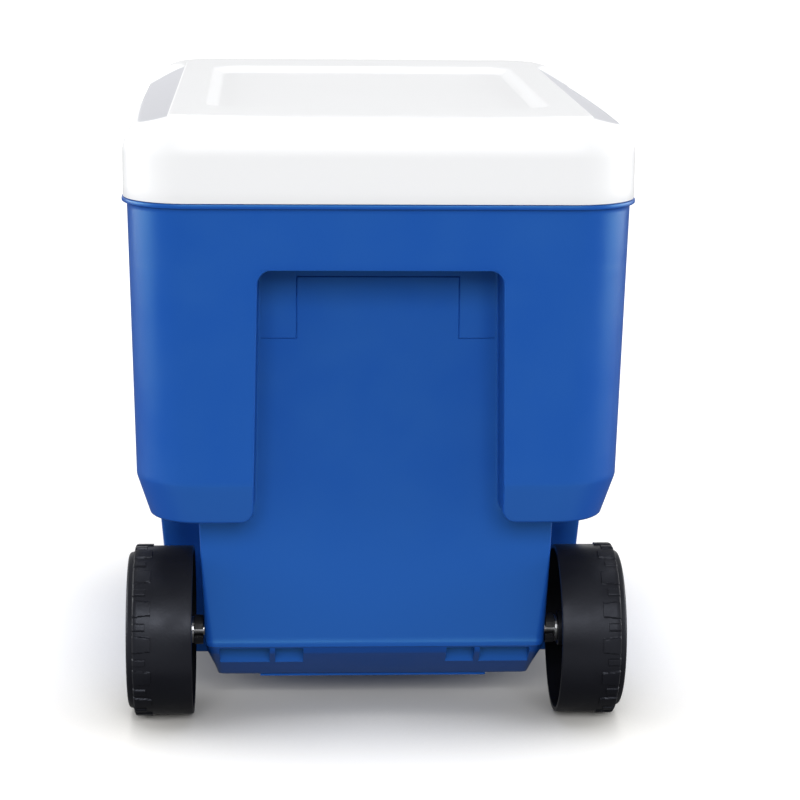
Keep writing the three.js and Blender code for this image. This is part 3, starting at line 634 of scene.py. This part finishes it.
def build_lid(material):
    mesh = skin(lid_inner_rings()[::-1] + lid_rings())
    return new_object("lid_moulding", mesh, "lid", ["lid_shell"], material, 32)


# ---------------------------------------------------------------- wheels

TREAD_REPEATS = 15  # the blocks that show in the photo would fit 14 or 15
TREAD_STEPS = 720  # stations around the tyre, 48 to a repeat
TREAD_BASE, TREAD_HIGH = 62.3, 63.5
AXLE_BORE_RADIUS = 4.5
SPOKES = 8


def tread_height(x, turn):
    """Radius of the tyre's face: a large and a small raised block by turns along its outer third."""
    part = (turn * TREAD_REPEATS) % 1.0
    inward = WHEEL_OUTER - x
    half = np.interp(inward, [0, 13], [0.25, 0.2])
    large = min(1, max(0, (half - abs(part - 0.3)) / 0.02)) * (inward < 13)
    small = min(1, max(0, (0.11 - abs(part - 0.78)) / 0.02)) * (inward < 9)
    return TREAD_BASE + (TREAD_HIGH - TREAD_BASE) * max(large, small)


def tyre_mesh():
    """The wheel without its spokes, about x, its outer face towards +x."""
    xs = [WHEEL_INNER, WHEEL_INNER + 0.4, WHEEL_INNER + 1.2, 140, 150, 160, 163.6, 163.95, 164.05, 164.4, 166,
          167.6, 167.95, 168.05, 168.4, 170, 173, 175.2]
    edge_drop = {WHEEL_INNER: 0.9, WHEEL_INNER + 0.4: 0.25}  # rounds the inner edge
    turns = [j / TREAD_STEPS for j in range(TREAD_STEPS)]
    rows = []
    for x in xs:
        heights = [TREAD_BASE if x < 164 else tread_height(x, turn) for turn in turns]
        rows.append([(x, height - edge_drop.get(x, 0)) for height in heights])
    for x, drop in ((176.3, 0.45), (177.0, 1.6)):
        rows.append([(x, tread_height(175, turn) - drop) for turn in turns])
    face = [  # radius, x: over the outer face, down the bore and back inside the rim
        (60.6, 177.3), (58.8, 177.4), (58.0, 177.7), (57.4, 180.2), (56.6, 181.2), (55.0, 181.8), (46, 181.8),
        (44.6, 181.4), (44, 180.2), (43.4, 179.6), (26, 179.6), (25.2, 180.2), (24.6, 181.4), (23.6, 181.8),
        (19, 181.8), (17.6, 182.5), (16.8, 182.8), (11.4, 182.8), (11, 182.5), (11, 177.0),
        (AXLE_BORE_RADIUS, 177.0), (AXLE_BORE_RADIUS, 136.5), (12.4, 136.5), (13, 137.1), (13, 172.0),
        (57.6, 172.0), (58.4, 171.0), (59.2, 134.4), (59.6, 134.0),
    ]
    for radius, x in face:
        rows.append([(x, radius)] * TREAD_STEPS)
    angles = np.linspace(0, 2 * pi, TREAD_STEPS, endpoint=False)
    points = [(x, r * cos(a), r * sin(a)) for row in rows for (x, r), a in zip(row, angles)]
    faces = []
    for i in range(len(rows)):
        n = (i + 1) % len(rows)
        for j in range(TREAD_STEPS):
            k = (j + 1) % TREAD_STEPS
            faces.append((i * TREAD_STEPS + j, i * TREAD_STEPS + k, n * TREAD_STEPS + k, n * TREAD_STEPS + j))
    mesh = bpy.data.meshes.new("tyre")
    mesh.from_pydata(points, [], faces)
    return mesh


def spoke_mesh(angle):
    """One rib of the wheel's hollow inner side."""
    work = bmesh.new()
    bmesh.ops.create_cube(work, size=1.0)
    bmesh.ops.transform(work, matrix=Matrix.Rotation(angle, 4, "X") @ Matrix.Translation((162.5, 35.5, 0))
                        @ Matrix.Diagonal((20.5, 46.5, 2.4, 1)), verts=work.verts)
    mesh = bpy.data.meshes.new("spoke")
    work.to_mesh(mesh)
    work.free()
    return mesh


def build_wheel(side, node, body, material):
    mesh = merged([tyre_mesh(), *[spoke_mesh(i * 2 * pi / SPOKES) for i in range(SPOKES)]])
    turn = Matrix.Identity(4) if side > 0 else Matrix.Rotation(pi, 4, "Z")
    placed(mesh, Matrix.Translation((0, AXLE_Y, WHEEL_R)) @ turn)
    return new_object(node + "_fine", mesh, body, [node], material, 32)


# ---------------------------------------------------------------- materials

def material(name):
    made = bpy.data.materials.new(name)
    made.use_nodes = True
    nodes = made.node_tree.nodes
    shader = nodes["Principled BSDF"]
    return made, nodes, made.node_tree.links, shader


def noise(nodes, links, coords, scale, detail=3.0, roughness=0.5):
    node = nodes.new("ShaderNodeTexNoise")
    node.inputs["Scale"].default_value = scale
    node.inputs["Detail"].default_value = detail
    node.inputs["Roughness"].default_value = roughness
    links.new(coords, node.inputs["Vector"])
    return node.outputs["Fac"]


def remap(nodes, links, value, low, high, from_low=0.3, from_high=0.7):
    node = nodes.new("ShaderNodeMapRange")
    node.inputs["From Min"].default_value = from_low
    node.inputs["From Max"].default_value = from_high
    node.inputs["To Min"].default_value = low
    node.inputs["To Max"].default_value = high
    links.new(value, node.inputs["Value"])
    return node.outputs["Result"]


def mixed(nodes, links, factor, first, second):
    node = nodes.new("ShaderNodeMix")
    node.data_type = "RGBA"
    node.inputs["A"].default_value = (*first, 1)
    node.inputs["B"].default_value = (*second, 1)
    links.new(factor, node.inputs["Factor"])
    return node.outputs["Result"]


def plastic(name, colour, shade, roughness, spread_of_roughness=0.06, grain=(900, 0.00004), swirl=6.0,
            specular=0.5, tint=(1, 1, 1)):
    """Moulded plastic: faint flow marks in its colour, uneven gloss, a fine grain unless grain is None."""
    made, nodes, links, shader = material(name)
    coords = nodes.new("ShaderNodeTexCoord").outputs["Object"]
    flow = noise(nodes, links, coords, swirl, 4.0)
    marks = remap(nodes, links, flow, 0, 1)
    links.new(mixed(nodes, links, marks, colour, shade), shader.inputs["Base Color"])
    patches = noise(nodes, links, coords, swirl * 4, 5.0, 0.6)
    rough = remap(nodes, links, patches, roughness - spread_of_roughness, roughness + spread_of_roughness)
    links.new(rough, shader.inputs["Roughness"])
    shader.inputs["Specular IOR Level"].default_value = specular
    shader.inputs["Specular Tint"].default_value = (*tint, 1)
    if grain:
        scale, depth = grain
        bump = nodes.new("ShaderNodeBump")
        bump.inputs["Distance"].default_value = depth
        links.new(noise(nodes, links, coords, scale, 2.0), bump.inputs["Height"])
        links.new(bump.outputs["Normal"], shader.inputs["Normal"])
    return made


def metal(name, colour, roughness, brushed=(40, 40, 4)):
    """Metal with faint streaks along z."""
    made, nodes, links, shader = material(name)
    coords = nodes.new("ShaderNodeTexCoord").outputs["Object"]
    stretch = nodes.new("ShaderNodeMapping")
    stretch.inputs["Scale"].default_value = brushed
    links.new(coords, stretch.inputs["Vector"])
    streaks = noise(nodes, links, stretch.outputs["Vector"], 12, 2.0)
    dark = tuple(c * 0.97 for c in colour)
    marks = remap(nodes, links, streaks, 0, 1)
    links.new(mixed(nodes, links, marks, colour, dark), shader.inputs["Base Color"])
    links.new(remap(nodes, links, streaks, roughness, roughness + 0.03), shader.inputs["Roughness"])
    shader.inputs["Metallic"].default_value = 1.0
    return made


def maths(nodes, links, operation, first, second=0.0):
    node = nodes.new("ShaderNodeMath")
    node.operation = operation
    for socket, value in zip(node.inputs, (first, second)):
        if isinstance(value, float):
            socket.default_value = value
        else:
            links.new(value, socket)
    return node.outputs[0]


def matte_scoops_with_painted_shade(made, colour, roughness):
    """Makes the sloping scoops beside the lid's panel duller than the rest of it, and paints shade on them in
    a darker colour.
    """
    nodes, links = made.node_tree.nodes, made.node_tree.links
    shader = nodes["Principled BSDF"]
    split = nodes.new("ShaderNodeSeparateXYZ")
    links.new(nodes.new("ShaderNodeTexCoord").outputs["Object"], split.inputs[0])
    x, y, z = split.outputs
    out = maths(nodes, links, "SUBTRACT", maths(nodes, links, "ABSOLUTE", x), PANEL_X * MM)
    far_slope = SCOOP_SLOPE_NEAR + SCOOP_SLOPE_GAIN
    near, far = SCOOP_NEAR * MM + MID_Y, SCOOP_END * MM + MID_Y
    slope = remap(nodes, links, y, SCOOP_SLOPE_NEAR, far_slope, near, far)
    surface = maths(nodes, links, "SUBTRACT", LID_TOP * MM, maths(nodes, links, "MULTIPLY", slope, out))
    off = maths(nodes, links, "ABSOLUTE", maths(nodes, links, "SUBTRACT", z, surface))
    mask = maths(nodes, links, "MULTIPLY", remap(nodes, links, off, 1.0, 0.0, 0.2 * MM, 0.7 * MM),
                 remap(nodes, links, out, 0.0, 1.0, 0.6 * MM, 1.2 * MM))
    plain = shader.inputs["Base Color"].links[0].from_socket
    # painted shade: inside the scoops the base colour turns to the darker colour passed in, standing in for
    # the shade their slope takes
    blend = nodes.new("ShaderNodeMix")
    blend.data_type = "RGBA"
    links.new(mask, blend.inputs["Factor"])
    links.new(plain, blend.inputs["A"])
    blend.inputs["B"].default_value = (*colour, 1)
    links.new(blend.outputs["Result"], shader.inputs["Base Color"])
    links.new(remap(nodes, links, mask, 0.36, roughness, 0.0, 1.0), shader.inputs["Roughness"])


MATERIALS = {
    "body_blue": plastic("blue_plastic", (0.009, 0.068, 0.34), (0.008, 0.064, 0.325), 0.34, specular=0.5,
                         tint=(0.35, 1, 1)),
    "lid_white": plastic("white_plastic", (0.755, 0.76, 0.77), (0.745, 0.75, 0.762), 0.4, 0.02, None,
                         specular=0.25),
    "liner_white": plastic("liner_plastic", (0.8, 0.81, 0.83), (0.76, 0.775, 0.8), 0.38),
    "foam": plastic("foam", (0.86, 0.8, 0.6), (0.8, 0.72, 0.5), 0.9, grain=(260, 0.0006)),
    "hinge_white": plastic("hinge_plastic", (0.8, 0.81, 0.82), (0.76, 0.77, 0.79), 0.35),
    "wheel_black": plastic("wheel_plastic", (0.004, 0.0042, 0.0065), (0.008, 0.0084, 0.011), 0.42, 0.16,
                           (500, 0.00008), specular=0.21, tint=(0.8, 0.85, 1.0)),
    "black_plastic": plastic("black_plastic", (0.008, 0.0085, 0.011), (0.012, 0.0125, 0.016), 0.5,
                             grain=(1200, 0.0001), specular=0.3),
    "grip_black": plastic("grip_rubber", (0.013, 0.0135, 0.016), (0.022, 0.023, 0.026), 0.7,
                          grain=(1500, 0.0002)),
    "foot_black": plastic("foot_rubber", (0.012, 0.0125, 0.015), (0.02, 0.02, 0.023), 0.75,
                          grain=(1000, 0.0002)),
    "button_grey": plastic("button_plastic", (0.11, 0.12, 0.13), (0.09, 0.1, 0.11), 0.42),
    "tube_alloy": metal("tube_alloy", (0.66, 0.67, 0.69), 0.3),
    "steel": metal("steel", (0.5, 0.51, 0.53), 0.28),
}
# the scoops' darker grey is painted shade; their rougher finish is their own
matte_scoops_with_painted_shade(MATERIALS["lid_white"], (0.5, 0.505, 0.535), 0.6)

# width of the rounded edges of the CAD pieces that stay visible, by slot, millimetres
EDGE_WIDTHS = {"black_plastic": 0.6, "grip_black": 0.9, "foot_black": 1.2, "hinge_white": 0.45,
               "button_grey": 0.7, "steel": 0.12, "liner_white": 0.6}


def dress_frame():
    """Every CAD node takes its slot's material, and those that stay get fine round edges."""
    for part in frame["record"]["subparts"]:
        piece = frame["nodes"][part["node"]]
        piece.data.materials.clear()
        piece.data.materials.append(MATERIALS[part["material_slot"]])
        width = EDGE_WIDTHS.get(part["material_slot"])
        if width:
            weld = piece.modifiers.new("weld", "WELD")
            weld.merge_threshold = 0.01 * MM
            edges = piece.modifiers.new("edges", "BEVEL")
            edges.width = width * MM
            edges.segments = 2
            edges.limit_method = "ANGLE"
            edges.angle_limit = radians(35)


# ---------------------------------------------------------------- stage

LIGHTS = [  # name, place, what it points at, width and height, watts; metres in the row's frame
    ("left_softbox", (-2.3, 0.1, 0.55), (0, -0.1, 0.25), (2.4, 1.1), 46),
    ("right_softbox", (2.3, 0.1, 0.55), (0, -0.1, 0.25), (2.4, 1.1), 46),
    ("front_softbox", (0.0, -3.0, 1.7), (0, -0.2, 0.25), (2.0, 1.2), 70),
    ("top_softbox", (0.0, 0.4, 2.6), (0, 0, 0.25), (1.6, 1.6), 28),
    ("floor_bounce", (0.0, -0.52, 0.004), (0, -0.52, 1), (1.2, 0.42), 0.9),
]
FLOOR_HALF = 30


def area_light(name, place, target, size, power):
    data = bpy.data.lights.new(name, "AREA")
    data.shape = "RECTANGLE"
    data.size, data.size_y = size
    data.energy = power
    lamp = bpy.data.objects.new(name, data)
    lamp.location = place
    lamp.rotation_euler = (Vector(target) - Vector(place)).to_track_quat("-Z", "Y").to_euler()
    lamp.visible_camera = False
    bpy.context.scene.collection.objects.link(lamp)


def build_stage():
    mesh = bpy.data.meshes.new("floor")
    far = FLOOR_HALF
    mesh.from_pydata([(-far, -far, 0), (far, -far, 0), (far, far, 0), (-far, far, 0)], [], [(0, 1, 2, 3)])
    floor = bpy.data.objects.new("floor", mesh)
    bpy.context.scene.collection.objects.link(floor)
    made, nodes, links, shader = material("pale_floor")
    shader.inputs["Base Color"].default_value = (0.62, 0.61, 0.59, 1)
    shader.inputs["Roughness"].default_value = 0.8
    shader.inputs["Specular IOR Level"].default_value = 0.1
    shader.inputs["Emission Color"].default_value = (1, 1, 1, 1)
    # the floor glows, more the farther it is from the cooler, so that it comes out white; near the cooler
    # ambient occlusion dims the glow, which paints a darker contact shadow under and around it
    coords = nodes.new("ShaderNodeTexCoord").outputs["Object"]
    length = nodes.new("ShaderNodeVectorMath")
    length.operation = "LENGTH"
    links.new(coords, length.inputs[0])
    glow = remap(nodes, links, length.outputs["Value"], 0.5, 0.85, 0.3, 1.8)
    clear = nodes.new("ShaderNodeAmbientOcclusion")
    clear.inputs["Distance"].default_value = 0.16
    openness = remap(nodes, links, clear.outputs["AO"], 0.0, 1.0, 0.35, 0.95)
    # painted shadow: the glow is cut where the cooler closes the floor in
    glow = maths(nodes, links, "MULTIPLY", glow, openness)
    links.new(glow, shader.inputs["Emission Strength"])
    mesh.materials.append(made)
    floor.visible_diffuse = floor.visible_glossy = False  # the key light, not the floor, lights the cooler
    world = bpy.data.worlds.new("studio")
    world.use_nodes = True
    world.node_tree.nodes["Background"].inputs["Color"].default_value = (1, 1, 1, 1)
    nodes, links = world.node_tree.nodes, world.node_tree.links
    split = nodes.new("ShaderNodeSeparateXYZ")
    links.new(nodes.new("ShaderNodeTexCoord").outputs["Generated"], split.inputs[0])
    below = remap(nodes, links, split.outputs["Z"], 0.14, 1.0, -0.06, 0.0)
    above = remap(nodes, links, split.outputs["Z"], 1.0, 0.36, 0.12, 0.4)
    strength = maths(nodes, links, "MINIMUM", below, above)
    links.new(strength, nodes["Background"].inputs["Strength"])
    bpy.context.scene.world = world
    for light in LIGHTS:
        area_light(*light)


CAMERA_YAW, CAMERA_PITCH, CAMERA_ROLL = 3.0, 12.45, -0.603  # degrees
CAMERA_PLACE = (-0.078, -2.003, 0.640)  # metres: x and y from the middle of the lid, z from the floor
CAMERA_LENS, CAMERA_SENSOR = 114.75, 36  # millimetres


def build_camera():
    """The photo's camera, as fitted to the lid, the recess, the body's lower edge and the wheels."""
    yaw, pitch, roll = radians(CAMERA_YAW), radians(CAMERA_PITCH), radians(CAMERA_ROLL)
    forward = Vector((sin(yaw) * cos(pitch), cos(yaw) * cos(pitch), -sin(pitch)))
    right = Vector((cos(yaw), -sin(yaw), 0))
    down = forward.cross(right)
    right, down = right * cos(roll) + down * sin(roll), down * cos(roll) - right * sin(roll)
    data = bpy.data.cameras.new("camera")
    data.sensor_width = CAMERA_SENSOR
    data.lens = CAMERA_LENS
    data.clip_end = 100
    camera = bpy.data.objects.new("camera", data)
    turn = Matrix((right, -down, -forward)).transposed()
    x, y, z = CAMERA_PLACE
    camera.matrix_world = Matrix.Translation((x, y + MID_Y, z)) @ turn.to_4x4()
    bpy.context.scene.collection.objects.link(camera)
    bpy.context.scene.camera = camera


bpy.context.scene.view_settings.view_transform = "Standard"
build_camera()
build_stage()
dress_frame()
build_body(MATERIALS["body_blue"])
build_lid(MATERIALS["lid_white"])
build_lid_foam(MATERIALS["foam"])
build_liner(MATERIALS["liner_white"])
build_foam(MATERIALS["foam"])
build_wheel(1, "wheel_right", "right_wheel", MATERIALS["wheel_black"])
build_wheel(-1, "wheel_left", "left_wheel", MATERIALS["wheel_black"])
